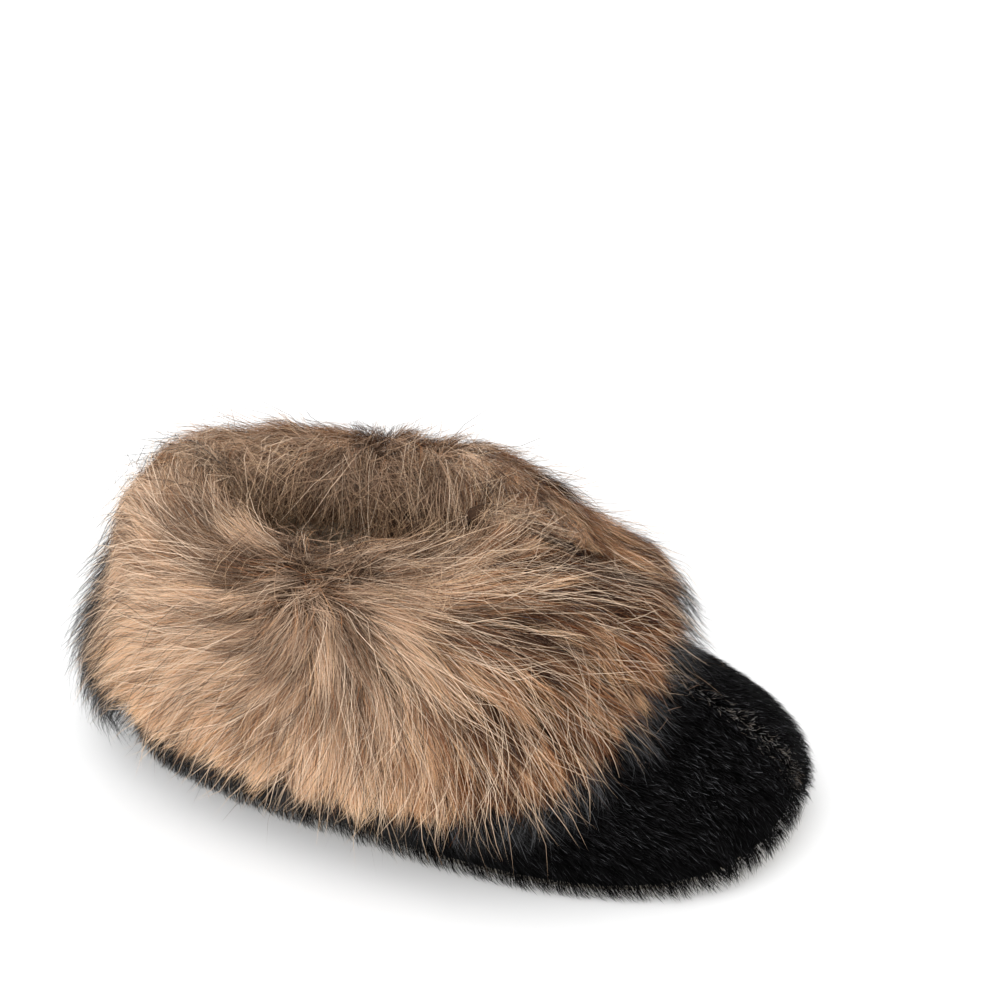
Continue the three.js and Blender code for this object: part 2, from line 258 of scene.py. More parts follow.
def fur_lines(turns):
    """Control points of the fur's outer line in each rib: lip, crown, flank and past the hem."""
    hem, depth, crown = np.moveaxis(closed_curve(FUR_SIZES, turns), -1, 0)
    rim = hide_surface(turns, np.ones_like(turns))
    outward = unit(hide_normal(turns, np.full_like(turns, 0.93)) * (1, 1, 0))

    def from_rim(out, up):
        return rim + outward * np.asarray(out)[..., None] + np.stack([0 * turns, 0 * turns, up], -1)

    def flank(covered, reach):
        return over_hide(turns, np.clip(hem + (1 - hem) * covered, 0.02, 1), reach * depth)

    past_hem = np.minimum(hem - 0.02, 0.2)
    points = [
        from_rim(-WALL - LIP_REACH * 0.5 + 0 * turns, crown * 0.1),
        from_rim(-WALL - LIP_REACH + 0 * turns, crown * 0.66),
        from_rim(-WALL - LIP_REACH * 0.3 + 0 * turns, crown),
        from_rim(depth * 0.8, crown * 0.7),
        flank(0.62, 1.0),
        flank(0.28, 0.98),
        flank(0.05, 0.78),
        over_hide(turns, hem - past_hem * 0.5, depth * 0.34),
        over_hide(turns, hem - past_hem, depth * 0.14),
    ]
    return np.stack(points, -2)


class Patch:
    """A surface on an even grid of turns and shares, with smooth look-ups."""

    def __init__(self, grid):
        self.grid = grid
        self.rows, self.columns = grid.shape[0], grid.shape[1] - 1
        self.round = (np.roll(grid, -1, 0) - np.roll(grid, 1, 0)) * self.rows / 2
        self.down = np.gradient(grid, axis=1) * self.columns
        self.normal = unit(np.cross(self.round, self.down))
        self.area = np.linalg.norm(np.cross(self.round, self.down), axis=-1)

    def look(self, values, turns, shares):
        row = np.mod(turns, 1) * self.rows
        column = np.clip(shares, 0, 1) * self.columns
        top, left = np.floor(row).astype(int), np.minimum(column.astype(int), self.columns - 1)
        down, right = (row - top)[..., None], (column - left)[..., None]
        top, below = top % self.rows, (top + 1) % self.rows
        return ((values[top, left] * (1 - right) + values[top, left + 1] * right) * (1 - down)
                + (values[below, left] * (1 - right) + values[below, left + 1] * right) * down)

    def place(self, turns, shares):
        return self.look(self.grid, turns, shares)

    def outward(self, turns, shares):
        return unit(self.look(self.normal, turns, shares))

    def spread(self, rng, count, low, high, weight=None):
        """Random turns and shares, even over the area between two shares, or by a weight."""
        turns, shares = np.empty(0), np.empty(0)
        most = self.area.max()
        while len(turns) < count:
            turn, share = rng.random(4 * count), rng.random(4 * count)
            chance = self.look(self.area[..., None], turn, share)[:, 0] / most
            wanted = (share > low(turn)) & (share < high(turn))
            if weight is not None:
                chance = chance * weight(turn, share)
            keep = wanted & (rng.random(4 * count) < chance)
            turns, shares = np.append(turns, turn[keep]), np.append(shares, share[keep])
        return turns[:count], shares[:count]

    def step(self, turns, shares, move):
        """Turns and shares after a move in space along the surface."""
        around = self.look(self.round, turns, shares)
        down = self.look(self.down, turns, shares)
        round_square, skew, down_square = dot(around, around), dot(around, down), dot(down, down)
        move_round, move_down = dot(around, move), dot(down, move)
        whole = np.maximum(round_square * down_square - skew * skew, 1e-6)
        turned = (move_round * down_square - move_down * skew) / whole
        lowered = (round_square * move_down - skew * move_round) / whole
        return turns + turned[..., 0], np.clip(shares + lowered[..., 0], 0, 1)


def waves(rng, turns, shares, scales):
    """Gentle random field over turn and share, about -1 to 1, periodic round the shoe."""
    total = np.zeros_like(turns)
    for rounds, lines in scales:
        phase = rng.random(2) * 2 * math.pi
        one_way = np.sin(2 * math.pi * (rounds * turns + lines * shares) + phase[0])
        other_way = np.sin(2 * math.pi * ((rounds + 2) * turns - lines * 0.7 * shares) + phase[1])
        total = total + one_way * other_way
    return total / len(scales) ** 0.5


def over_instep(turns):
    """1 at the front of the cuff, over the instep, and 0 at its sides."""
    return smooth(np.cos(2 * math.pi * turns), 0.45, 0.95)


GRID_TURNS = np.arange(ROUND_STEPS) / ROUND_STEPS
GRID_SHARES = np.linspace(0, 1, LINE_STEPS + 1)


def fur_surface():
    """The fur's outer form with its soft billows."""
    plain = Patch(open_curve(fur_lines(GRID_TURNS), GRID_SHARES))
    turns, shares = np.meshgrid(GRID_TURNS, GRID_SHARES, indexing="ij")
    billow = waves(np.random.default_rng(SEEDS["billow"]), turns, shares, ((5, 2), (8, 3), (13, 3), (19, 5)))
    lower = INSTEP_LAY * over_instep(turns) * smooth(shares, 0.25, 0.45)
    height = FUR_BILLOW * billow * smooth(shares, 0.1, 0.3) - lower
    return Patch(plain.grid + plain.normal * height[..., None])


FUR = fur_surface()
HIDE = Patch(hide_surface(GRID_TURNS[:, None], 1 - GRID_SHARES[None]))


def from_whorl(turns, shares):
    """Millimetres round the shoe and down the fur line from the whorl of the same side."""
    turns = np.mod(turns, 1)
    turn, share = (np.where(turns < 0.5, outer, inner) for outer, inner in zip(OUTER_WHORL, INNER_WHORL))
    return (turns - turn) * FUR_ROUND, (shares - share) * FUR_LINE


def fur_flow(turns, shares, lean):
    """Direction of the fur along its surface: away from the whorl of its side, and down the flank."""
    around = unit(FUR.look(FUR.round, turns, shares))
    down = unit(FUR.look(FUR.down, turns, shares))
    aside, below = from_whorl(turns, shares)
    from_edge = np.minimum(np.mod(turns, 0.5), 0.5 - np.mod(turns, 0.5))
    length = np.hypot(aside, below) + 6
    radial = 0.8 - 0.42 * smooth(below, 2, 48)
    along = radial * aside / length * smooth(from_edge, 0, 0.09)
    fall = radial * below / length + (1 - radial) * np.tanh(below / 18)
    angle = np.arctan2(along, fall) + flank_sweep(turns, aside, below, from_edge) + lean
    return around * np.sin(angle)[..., None] + down * np.cos(angle)[..., None]


def flank_sweep(turns, aside, below, from_edge):
    """How far the flow turns from the instep to the flanks, and across the centre line, in radians."""
    side = np.where(np.mod(turns, 1) < 0.5, 1, -1)
    ahead = -aside * side
    strength = np.maximum(smooth(below, 4, 24), smooth(ahead, 85, 120))
    strength = strength * (1 - 0.6 * smooth(-ahead, 20, 70))
    centre = 1 - smooth(np.minimum(np.mod(turns, 1), np.mod(-turns, 1)), 0.02, 0.06)
    sweep = side * FLANK_SWEEP * strength * smooth(from_edge, 0.03, 0.08)
    return sweep - CENTRE_SWEEP * centre * smooth(below, 0, 30)


def grow(turns, shares, lengths, lean, rise, steps, depth=FUR_DEPTH, limit=2.0):
    """Hairs that start below the fur's surface, follow its flow and lift, and end near a limiting share."""
    rise = rise * (1 - 0.7 * over_instep(turns))
    lengths = np.minimum(lengths, np.maximum((limit - shares) * FUR_LINE * 1.15, 9))
    path = []
    for step in range(steps + 1):
        share = step / steps
        lift = rise * share ** 1.3 - depth * (1 - share) ** 2
        path.append(FUR.place(turns, shares) + FUR.outward(turns, shares) * lift[:, None])
        move = fur_flow(turns, shares, lean) * (lengths / steps)[:, None]
        turns, shares = FUR.step(turns, shares, move)
    return np.stack(path, 1)


def resample(paths, shares):
    """Each path at the given shares of its length; shares is (hairs, points)."""
    last = paths.shape[1] - 1
    place = np.clip(shares, 0, 1) * last
    left = np.minimum(place.astype(int), last - 1)
    hair = np.arange(len(paths))[:, None]
    part = (place - left)[..., None]
    return paths[hair, left] * (1 - part) + paths[hair, left + 1] * part


def settle(paths):
    """Paths bent over softly above the crest and kept clear of the floor."""
    paths = paths.copy()
    over = np.maximum(paths[..., 2] - CREST_HEIGHT, 0)
    paths[..., 2] += CREST_GIVE * np.tanh(over / CREST_GIVE) - over
    paths[..., 2] = np.maximum(paths[..., 2], FLOOR_CLEARANCE)
    return paths


def strand_corners(left, right, tip):
    """Values at each strand's corners: left and right in turn from the root, then the tip."""
    pairs = np.stack([left, right], 2).reshape(len(left), -1, left.shape[-1])
    return np.concatenate([pairs, tip[:, None]], 1)


def strand_faces(count, segments):
    """Corner numbers of all faces in one list, and where in it each face starts."""
    quads = [(2 * k, 2 * k + 1, 2 * k + 3, 2 * k + 2) for k in range(segments - 1)]
    tip = (2 * segments - 2, 2 * segments - 1, 2 * segments)
    pattern = np.array([index for quad in quads for index in quad] + list(tip))
    sizes = np.array([4] * len(quads) + [3])
    numbers = (pattern[None] + (2 * segments + 1) * np.arange(count)[:, None]).ravel()
    first = np.concatenate([[0], np.cumsum(np.tile(sizes, count))[:-1]])
    return numbers, first


def mesh_of_strands(name, corners, normals, spots):
    """Mesh from the corners of all strands, their normals and their places on the map."""
    count, per_strand = corners.shape[:2]
    numbers, first = strand_faces(count, per_strand // 2)
    mesh = bpy.data.meshes.new(name)
    mesh.vertices.add(count * per_strand)
    mesh.vertices.foreach_set("co", (corners * MM).astype(np.float32).ravel())
    mesh.loops.add(len(numbers))
    mesh.loops.foreach_set("vertex_index", numbers.astype(np.int32))
    mesh.polygons.add(len(first))
    mesh.polygons.foreach_set("loop_start", first.astype(np.int32))
    mesh.update(calc_edges=True)
    layer = mesh.uv_layers.new(name="OFBake")
    layer.uv.foreach_set("vector", spots.reshape(-1, 2)[numbers].astype(np.float32).ravel())
    mesh.normals_split_custom_set_from_vertices(normals.reshape(-1, 3).astype(np.float32))
    return mesh


def strand_mesh(name, paths, outward, widths, tones, twist, material, starts=0.0, taper=0.75):
    """One piece of flat tapering strands. Its map holds each strand's tone and the share along it."""
    count, points = paths.shape[:2]
    paths = settle(paths)
    along = unit(np.gradient(paths, axis=1))
    outward = np.broadcast_to(outward[:, None], paths.shape)
    side = unit(np.cross(along, outward) + 1e-6)
    face = unit(np.cross(side, along))
    cos, sin = np.cos(twist)[:, None, None], np.sin(twist)[:, None, None]
    side, face = side * cos + face * sin, face * cos - side * sin
    share = np.linspace(0, 1, points)
    belly = 0.7 + 0.3 * np.sin(math.pi * share)
    width = widths[:, None] * belly * (1 - share ** 2.2 * taper)
    half = side * (width / 2)[..., None]
    lit = unit(outward * 0.8 + face * np.where(dot(face, outward) < 0, -1, 1) * 0.6)
    map_along = 1 - (1 - np.broadcast_to(starts, count)[:, None]) * (1 - share)
    spots = np.stack(np.broadcast_arrays(np.clip(tones, 0.01, 0.99)[:, None], map_along), -1)
    map_half = np.array((MAP_HALF_WIDTH, 0))

    corners = strand_corners((paths - half)[:, :-1], (paths + half)[:, :-1], paths[:, -1])
    normals = strand_corners(lit[:, :-1], lit[:, :-1], lit[:, -1])
    spots = strand_corners((spots - map_half)[:, :-1], (spots + map_half)[:, :-1], spots[:, -1])
    mesh = mesh_of_strands(name, corners, normals, spots)
    mesh.materials.append(material)
    return add_piece(name, mesh)


def add_piece(name, mesh):
    piece = bpy.data.objects.new(name, mesh)
    bpy.context.collection.objects.link(piece)
    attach(piece, BODY)
    return piece


def grid_mesh(name, points, material, close_columns=False):
    """Smooth mesh over a grid that closes round the shoe, and across too where asked."""
    rows, columns = points.shape[:2]
    index = np.arange(rows * columns).reshape(rows, columns)
    index = np.concatenate([index, index[:1]], 0)
    if close_columns:
        index = np.concatenate([index, index[:, :1]], 1)
    faces = np.stack([index[:-1, :-1], index[:-1, 1:], index[1:, 1:], index[1:, :-1]], -1).reshape(-1, 4)
    mesh = bpy.data.meshes.new(name)
    mesh.from_pydata((points.reshape(-1, 3) * MM).tolist(), [], faces.tolist())
    mesh.polygons.foreach_set("use_smooth", np.ones(len(mesh.polygons), bool))
    mesh.update()
    mesh.materials.append(material)
    return add_piece(name, mesh)


# Materials

class Nodes:
    """Short way to add and join nodes in one tree."""

    def __init__(self, tree):
        self.tree = tree

    def add(self, kind, **settings):
        node = self.tree.nodes.new(kind)
        for name, value in settings.items():
            setattr(node, name, value)
        return node

    def join(self, source, target):
        self.tree.links.new(source, target)

    def feed(self, node, values):
        """Sets or joins each value at the input of its name or number."""
        for place, value in values.items():
            if isinstance(value, (int, float)):
                node.inputs[place].default_value = value
            else:
                self.join(value, node.inputs[place])

    def math(self, operation, first, second):
        node = self.add("ShaderNodeMath", operation=operation)
        self.feed(node, {0: first, 1: second})
        return node.outputs[0]

    def mix(self, share, first, second):
        node = self.add("ShaderNodeMix", data_type="RGBA", clamp_factor=True)
        self.feed(node, {0: share, 6: first, 7: second})
        return node.outputs[2]

    def mix_channels(self, shares, first, second):
        """Colour mix with a share of its own for each channel."""
        node = self.add("ShaderNodeMix", data_type="VECTOR", factor_mode="NON_UNIFORM", clamp_factor=True)
        self.feed(node, {1: shares, 4: first, 5: second})
        return node.outputs[1]

    def soft_step(self, value, low, high):
        node = self.add("ShaderNodeMapRange", interpolation_type="SMOOTHSTEP")
        self.feed(node, {"Value": value, "From Min": low, "From Max": high})
        return node.outputs["Result"]


def new_group(name, inputs, outputs):
    """Empty shader group; inputs are (name, type, default) and outputs (name, type)."""
    tree = bpy.data.node_groups.new(name, "ShaderNodeTree")
    for label, kind, default in inputs:
        socket = tree.interface.new_socket(label, in_out="INPUT", socket_type=kind)
        socket.default_value = default
    for label, kind in outputs:
        tree.interface.new_socket(label, in_out="OUTPUT", socket_type=kind)
    nodes = Nodes(tree)
    return tree, nodes, nodes.add("NodeGroupInput").outputs, nodes.add("NodeGroupOutput").inputs


COLOUR, VALUE = "NodeSocketColor", "NodeSocketFloat"
GREY = (0.5, 0.5, 0.5, 1.0)
# How fast green and blue fall behind red in the darker tones of a warm hair
GREEN_FADE = 0.2
BLUE_FADE = 0.35
# Mottle: detail of its noise, share of blotches in it, and the heights that are all dark and all light
MOTTLE_DETAIL = 4
BLOTCH_PART = 0.6
MOTTLE_DARK = 0.3
MOTTLE_LIGHT = 0.7


def strand_group():
    """Colour of a hair from its tone and the share along it; dark warmth reddens the darker tones."""
    names = ("Root Dark", "Root Light", "Middle Dark", "Middle Light", "Tip Dark", "Tip Light")
    inputs = [(name, COLOUR, GREY) for name in names]
    inputs += [("Middle Start", VALUE, 0.05), ("Middle End", VALUE, 0.5),
               ("Tip Start", VALUE, 0.6), ("Tip End", VALUE, 0.9), ("Dark Warmth", VALUE, 0.0)]
    tree, nodes, given, made = new_group("strand_colour", inputs, [("Colour", COLOUR)])
    spot = nodes.add("ShaderNodeUVMap", uv_map="OFBake")
    parts = nodes.add("ShaderNodeSeparateXYZ")
    nodes.join(spot.outputs[0], parts.inputs[0])
    tone, along = parts.outputs[0], parts.outputs[1]
    tones = nodes.add("ShaderNodeCombineXYZ")
    nodes.join(tone, tones.inputs[0])
    for channel, fade in ((1, GREEN_FADE), (2, BLUE_FADE)):
        power = nodes.math("ADD", nodes.math("MULTIPLY", given["Dark Warmth"], fade), 1.0)
        nodes.join(nodes.math("POWER", tone, power), tones.inputs[channel])
    root, middle, tip = (nodes.mix_channels(tones.outputs[0], given[f"{part} Dark"], given[f"{part} Light"])
                         for part in ("Root", "Middle", "Tip"))
    to_middle = nodes.soft_step(along, given["Middle Start"], given["Middle End"])
    to_tip = nodes.soft_step(along, given["Tip Start"], given["Tip End"])
    nodes.join(nodes.mix(to_tip, nodes.mix(to_middle, root, middle), tip), made["Colour"])
    return tree


def mottle_group():
    """Soft blotches and fine fibres for felted, fleecy and suede surfaces."""
    inputs = [("Dark", COLOUR, GREY), ("Light", COLOUR, GREY), ("Blotch Scale", VALUE, 40.0),
              ("Fibre Scale", VALUE, 600.0)]
    tree, nodes, given, made = new_group("mottled_fibre", inputs, [("Colour", COLOUR), ("Height", VALUE)])
    place = nodes.add("ShaderNodeTexCoord").outputs["Object"]
    blotch = nodes.add("ShaderNodeTexNoise")
    fibre = nodes.add("ShaderNodeTexNoise")
    for node, scale in ((blotch, "Blotch Scale"), (fibre, "Fibre Scale")):
        nodes.join(place, node.inputs["Vector"])
        nodes.join(given[scale], node.inputs["Scale"])
        node.inputs["Detail"].default_value = MOTTLE_DETAIL
    both = nodes.math("ADD", nodes.math("MULTIPLY", blotch.outputs["Fac"], BLOTCH_PART),
                      nodes.math("MULTIPLY", fibre.outputs["Fac"], 1 - BLOTCH_PART))
    paler = nodes.soft_step(both, MOTTLE_DARK, MOTTLE_LIGHT)
    nodes.join(nodes.mix(paler, given["Dark"], given["Light"]), made["Colour"])
    nodes.join(both, made["Height"])
    return tree


STRAND = strand_group()
MOTTLE = mottle_group()


def new_material(name, roughness, specular, sheen=0.0):
    material = bpy.data.materials.new(name)
    material.use_nodes = True
    nodes = Nodes(material.node_tree)
    shader = material.node_tree.nodes["Principled BSDF"]
    shader.inputs["Roughness"].default_value = roughness
    shader.inputs["Specular IOR Level"].default_value = specular
    shader.inputs["Sheen Weight"].default_value = sheen
    return material, nodes, shader


def place_group(nodes, tree, values):
    node = nodes.add("ShaderNodeGroup", node_tree=tree)
    for name, value in values.items():
        node.inputs[name].default_value = value
    return node.outputs


def hair_material(name, roots, middles, tips, stops, roughness, specular, dark_warmth=0.0):
    """Roots, middles and tips are each a dark and a light screen colour."""
    material, nodes, shader = new_material(name, roughness, specular)
    values = {"Dark Warmth": dark_warmth}
    values.update(zip(("Middle Start", "Middle End", "Tip Start", "Tip End"), stops))
    for part, colours in (("Root", roots), ("Middle", middles), ("Tip", tips)):
        for end, colour in zip(("Dark", "Light"), colours):
            values[f"{part} {end}"] = srgb(*colour)
    colour = place_group(nodes, STRAND, values)["Colour"]
    nodes.join(colour, shader.inputs["Base Color"])
    return material


def mottled_material(name, dark, light, blotch, fibre, bump, roughness=0.9, specular=0.2, sheen=0.0):
    material, nodes, shader = new_material(name, roughness, specular, sheen)
    made = place_group(nodes, MOTTLE, {"Dark": srgb(*dark), "Light": srgb(*light), "Blotch Scale": blotch,
                                       "Fibre Scale": fibre})
    nodes.join(made["Colour"], shader.inputs["Base Color"])
    relief = nodes.add("ShaderNodeBump")
    relief.inputs["Strength"].default_value = bump
    relief.inputs["Distance"].default_value = MM
    nodes.join(made["Height"], relief.inputs["Height"])
    nodes.join(relief.outputs[0], shader.inputs["Normal"])
    return material


# Shares along a hair where its middle colour begins and is full, and then the same for its tip
UNDERFUR_STOPS = (0.0, 0.55, 0.5, 1.0)
TOP_HAIR_STOPS = (0.0, 0.45, 0.5, 0.95)
GUARD_STOPS = (0.0, 0.4, 0.55, 0.75)
EVEN_STOPS = (0.0, 0.5, 0.5, 1.0)

# The fur's roots are darker than its middles: partly the hairs' own darker bases, partly painted shade deep
# in the coat.
TAUPE_UNDERFUR = hair_material(
    "taupe_underfur", roots=((50, 33, 22), (124, 98, 80)), middles=((54, 36, 24), (247, 211, 179)),
    tips=((58, 39, 26), (247, 210, 175)), stops=UNDERFUR_STOPS, roughness=0.6, specular=0.15,
    dark_warmth=0.35)
GOLDEN_UNDERFUR = hair_material(
    "golden_underfur", roots=((52, 32, 19), (126, 94, 68)), middles=((56, 34, 19), (250, 206, 163)),
    tips=((60, 36, 20), (250, 204, 157)), stops=UNDERFUR_STOPS, roughness=0.6, specular=0.15,
    dark_warmth=2.3)
TAUPE_HAIR = hair_material(
    "taupe_top_hair", roots=((48, 32, 22), (134, 106, 86)), middles=((48, 32, 22), (254, 225, 196)),
    tips=((52, 34, 23), (254, 221, 187)), stops=TOP_HAIR_STOPS, roughness=0.45, specular=0.3,
    dark_warmth=0.35)
GOLDEN_HAIR = hair_material(
    "golden_top_hair", roots=((50, 30, 17), (134, 98, 68)), middles=((50, 30, 17), (254, 215, 170)),
    tips=((54, 32, 18), (254, 211, 164)), stops=TOP_HAIR_STOPS, roughness=0.45, specular=0.3,
    dark_warmth=2.3)
# The grey of the guard hair's light tip is painted highlight on the black tips.
GUARD_HAIR = hair_material(
    "black_tipped_guard_hair", roots=((84, 66, 54), (140, 116, 94)), middles=((110, 82, 60), (240, 202, 160)),
    tips=((4, 4, 4), (112, 112, 114)), stops=GUARD_STOPS, roughness=0.4, specular=0.15)
# The inner hair's colours are the fur's own brown darkened with painted shade of the collar's hollow.
INNER_HAIR = hair_material(
    "inner_hair_painted_shade", roots=((46, 31, 21), (92, 70, 54)), middles=((60, 43, 31), (194, 160, 132)),
    tips=((68, 49, 36), (246, 208, 166)), stops=EVEN_STOPS, roughness=0.5, specular=0.25, dark_warmth=0.6)
# The grey of the nap's light tones, palest at the tips, is painted glint on the black hair.
NAP = hair_material(
    "black_nap", roots=((1, 1, 1), (4, 4, 4)), middles=((2, 2, 2), (40, 40, 41)),
    tips=((3, 3, 3), (140, 140, 144)), stops=EVEN_STOPS, roughness=0.5, specular=0.02)
SEAM_HAIR = hair_material(
    "pale_seam_hair", roots=((92, 80, 66), (96, 95, 94)), middles=((124, 104, 82), (150, 148, 146)),
    tips=((134, 108, 78), (176, 174, 172)), stops=EVEN_STOPS, roughness=0.4, specular=0.3)
WOOL = hair_material(
    "cream_wool", roots=((190, 178, 156), (214, 204, 184)), middles=((206, 194, 170), (234, 226, 208)),
    tips=((214, 204, 182), (242, 236, 222)), stops=EVEN_STOPS, roughness=0.8, specular=0.15)
UNDERCOAT = mottled_material("dense_undercoat", (44, 29, 19), (84, 61, 45), blotch=60, fibre=900, bump=0.6)
HIDE_SKIN = mottled_material("black_hide", (1, 1, 1), (4, 4, 4), blotch=120, fibre=2500, bump=0.5,
                             roughness=0.8, specular=0.02)
SUEDE = mottled_material("pale_suede", (168, 160, 146), (206, 198, 184), blotch=90, fibre=2200, bump=0.35,
                         roughness=0.95, specular=0.1, sheen=0.2)
FLEECE = mottled_material("cream_fleece", (198, 184, 160), (240, 229, 210), blotch=160, fibre=1200, bump=0.9,
                          roughness=0.95, specular=0.1, sheen=0.3)


# Fur of the cuff

# Numbers of guides and hairs
LOCKS = 1100
STRANDS = 9000
UNDERFUR_HAIRS = 120000
TOP_HAIRS = 25000
STRAY_HAIRS = 4000
GUARD_HAIRS = 12000
LIP_HAIRS = 8600
WALL_HAIRS = 6400
HANGING_HAIRS = 2600
HEM_FANS = 96
LIP_TUFTS = 110
# Steps along a guide, the step at its middle, and the points of a long hair
GUIDE_STEPS = 7
GUIDE_MIDDLE = 4
LONG_POINTS = 5
# Share of the underfur and top hairs that bend out of their lock
STRAY_SHARE = 0.05
# Roots of the hairs inside the collar and under the hem, in millimetres: past the wall and below the fur
WALL_ROOT = 0.8
ROOT_DEPTH = 5
# How far the hairs on the wall sag, as a share of their length
WALL_SAG = 0.4
# Lengths in millimetres: full, and how much shorter at the instep, the hem and the lip
FULL_LENGTH = 47
INSTEP_SHORTER = 3
HEM_SHORTER = 14
LIP_SHORTER = 12
# Shortest and longest hairs at the collar in millimetres
LIP_LENGTHS = (20, 34)
WALL_LENGTHS = (12, 21)
HANGING_LENGTHS = (11, 20)
# Thinnest and thickest hairs in millimetres
COAT_WIDTHS = (0.11, 0.2)
STRAY_WIDTHS = (0.1, 0.16)
GUARD_WIDTHS = (0.11, 0.19)
INNER_WIDTHS = (0.14, 0.26)
# Share of its length that a hair has at the whorl
WHORL_LENGTH = 0.55
# Tones from 0, dark, to 1, pale: at the whorl, and gains and losses away from it, in front and by streaks
WHORL_TONE = 0.38
NEAR_GAIN = 0.06
FAR_GAIN = 0.46
FAR_FRONT_LOSS = 0.58
FRONT_LOSS = 0.05
STREAK_GAIN = 0.23
# Middle and spread of the tones of the hairs at the collar; the lower tones of the wall and hanging hairs are
# painted shade deep in the collar
LIP_TONES = (0.37, 0.24)
WALL_TONES = (0.25, 0.32)
HANGING_TONES = (0.27, 0.28)
# Streaks that run out from a whorl: numbers of waves round it, and what brings their sum to about 1
STREAK_COUNTS = (5, 9, 14, 23, 31)
STREAK_SCALE = 2.2
# Black streak on the instep: turn at the middle share, turn gained over a whole share, and half width
BlackStreak = namedtuple("BlackStreak", "turn share slant half_width")
BLACK_STREAK = BlackStreak(0.917, 0.475, 0.53, 0.014)
# Golden tuft on the inner side of the lip: middle and half width as turn and share
GoldenTuft = namedtuple("GoldenTuft", "turn share round down")
GOLDEN_TUFT = GoldenTuft(0.687, 0.13, 0.012, 0.06)
# Turn of the black patch at the back of the heel
HEEL_TURN = 0.525
# Undercoat: steps down its front and its back, depth under the fur and gap to the hide in millimetres
UNDERCOAT_STEPS = 40
BACKING_STEPS = 14
UNDERCOAT_INSET = 8.5
BACKING_GAP = 0.9
# Share of the fur line that hairs and undercoat keep from the hem
HEM_MARGIN = 0.03
# Share of the fur line where the brown hair ends, by turn
HEM_TURNS = (0, 0.1, 0.18, 0.24, 0.3, 0.36, 0.42, 0.5, 0.6, 0.8, 0.9, 0.96, 1)
HEM_SHARES = (0.745, 0.725, 0.71, 0.672, 0.672, 0.66, 0.665, 0.68, 0.69, 0.7, 0.69, 0.69, 0.745)
# Patches of another tone: middle and half width as turn and share, and how much paler, darker if below 0
TonePatch = namedtuple("TonePatch", "turn share round down paler")
TONE_PATCHES = (
    TonePatch(0.25, 0.262, 0.045, 0.035, 0.3),
    TonePatch(0.86, 0.32, 0.05, 0.07, 0.36),
    TonePatch(0.42, 0.5, 0.07, 0.14, 0.1),
    TonePatch(0.28, 0.5, 0.06, 0.12, 0.16),
    TonePatch(0.19, 0.53, 0.1, 0.07, 0.13),
    TonePatch(0.53, 0.29, 0.07, 0.06, -0.2),
    TonePatch(0.965, 0.42, 0.02, 0.1, -0.35),
    TonePatch(0.085, 0.37, 0.04, 0.07, -0.25),
)


def hem_share(turns):
    return np.interp(np.mod(turns, 1), HEM_TURNS, HEM_SHARES)


def hair_length(turns, shares):
    """Longest on the flanks and over the instep, shorter at the whorl, the hem and inside the lip."""
    front = smooth(np.cos(2 * math.pi * turns), 0.2, 0.9)
    away = np.hypot(*from_whorl(turns, shares))
    near_hem = smooth(shares, hem_share(turns) - 0.2, hem_share(turns))
    inside = 1 - smooth(shares, 0.1, 0.25)
    length = FULL_LENGTH - INSTEP_SHORTER * front - HEM_SHORTER * near_hem - LIP_SHORTER * inside
    return length * (WHORL_LENGTH + (1 - WHORL_LENGTH) * smooth(away, 4, 45))


def at_front(turns):
    """1 over the instep and 0 at the heel."""
    return smooth(np.cos(2 * math.pi * turns), -0.2, 0.6)


def at_heel(turns):
    """1 at the back of the heel and 0 away from it."""
    return 1 - smooth(np.abs(np.mod(turns, 1) - HEEL_TURN), 0.06, 0.125)


def unruly(rng, turns, shares, calm):
    """Sideways lean of each hair: soft waves, and no set direction at the whorl."""
    away = np.hypot(*from_whorl(turns, shares))
    noise = rng.normal(0, 1, len(turns))
    drift = waves(rng, turns, shares, ((5, 2), (9, 3), (17, 5)))
    return (0.14 + 0.16 * at_front(turns)) * drift + noise * (calm + 0.18 * (1 - smooth(away, 3, 22)))


def radial_streaks(rng, turns, shares):
    """Dark and pale streaks that run out from the whorl, about -1 to 1."""
    aside, below = from_whorl(turns, shares)
    angle = np.arctan2(aside, below)
    away = np.hypot(aside, below)
    total = 0 * turns
    for count in STREAK_COUNTS:
        total = total + np.sin(count * angle + rng.random() * 2 * math.pi + 0.02 * away)
    return total / STREAK_SCALE * smooth(away, 10, 40)


def region_tone(rng, turns, shares):
    """Dark at the whorl, paler towards hem and heel, with streaks that are strong at the front."""
    away = np.hypot(*from_whorl(turns, shares))
    front = at_front(turns)
    far_gain = FAR_GAIN - FAR_FRONT_LOSS * front
    tone = WHORL_TONE + NEAR_GAIN * smooth(away, 4, 20) + far_gain * smooth(away, 10, 54)
    for patch in TONE_PATCHES:
        aside = (np.mod(turns - patch.turn + 0.5, 1) - 0.5) / patch.round
        tone = tone + patch.paler * np.exp(-aside ** 2 - ((shares - patch.share) / patch.down) ** 2)
    return tone - FRONT_LOSS * front + STREAK_GAIN * radial_streaks(rng, turns, shares)


def warmth(turns, shares):
    """Share of golden hairs among the taupe ones: few at whorl and crest, most at hem and instep."""
    away = np.hypot(*from_whorl(turns, shares))
    low = smooth(shares, 0.36, 0.62)
    return np.clip(0.12 + 0.5 * low + 0.55 * at_front(turns) * smooth(away, 20, 60), 0.05, 0.97)


Guides = namedtuple("Guides", "turns shares paths tones lit")


